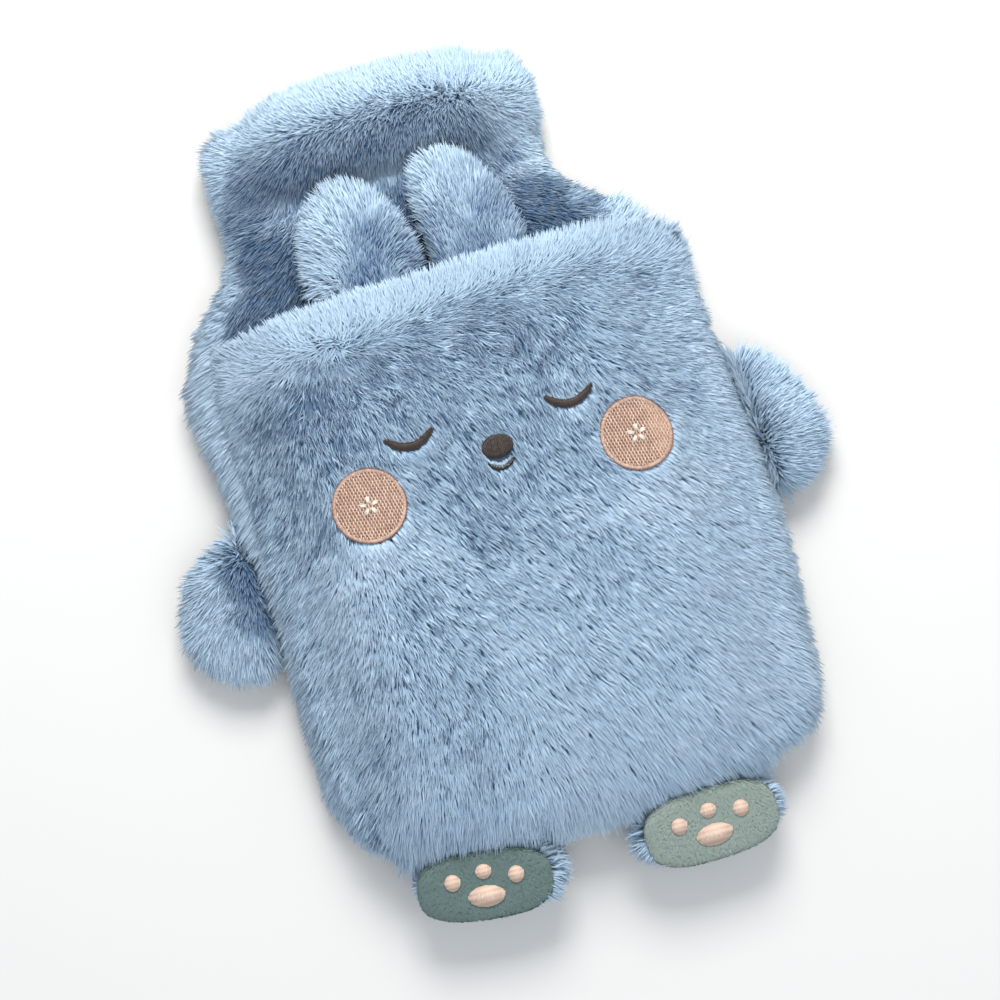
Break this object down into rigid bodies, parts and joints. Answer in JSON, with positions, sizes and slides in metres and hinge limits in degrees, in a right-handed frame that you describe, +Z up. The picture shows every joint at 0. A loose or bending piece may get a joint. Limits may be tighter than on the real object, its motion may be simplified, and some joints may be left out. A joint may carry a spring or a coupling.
{
  "type": "hot water bottle cover",
  "caption": "Long-pile plush cover for a hot water bottle: a flat bag with a neck and turned-down cuff, a hand pocket on its front, and sewn-on ears, arms and stuffed feet.",
  "frame": {"origin": "on the surface that the cover lies on, under the middle of its box", "axes": "+X to the right across the front as it is seen from above, +Y along the cover towards its neck and mouth, +Z up out of its front"},
  "size_m": [0.2555, 0.33, 0.0482],
  "materials": {
    "blue_pile": "long soft pile, light blue",
    "sole_plush": "short grey-teal plush",
    "brown_thread": "satin-stitched brown thread",
    "pink_thread": "satin-stitched dusty pink thread"
  },
  "bodies": {
    "root": {"cover_bag": "blue_pile", "front_pocket": "blue_pile", "ear_left": "blue_pile", "ear_right": "blue_pile", "arm_left": "blue_pile", "arm_right": "blue_pile", "foot_left": "blue_pile", "foot_right": "blue_pile", "sole_left": "sole_plush", "sole_right": "sole_plush", "eye_left": "brown_thread", "eye_right": "brown_thread", "nose": "brown_thread", "mouth": "brown_thread", "cheek_left": "pink_thread", "cheek_right": "pink_thread", "pad_left_heel": "pink_thread", "pad_left_toe_outer": "pink_thread", "pad_left_toe_middle": "pink_thread", "pad_left_toe_inner": "pink_thread", "pad_right_heel": "pink_thread", "pad_right_toe_outer": "pink_thread", "pad_right_toe_middle": "pink_thread", "pad_right_toe_inner": "pink_thread"}
  },
  "joints": []
}
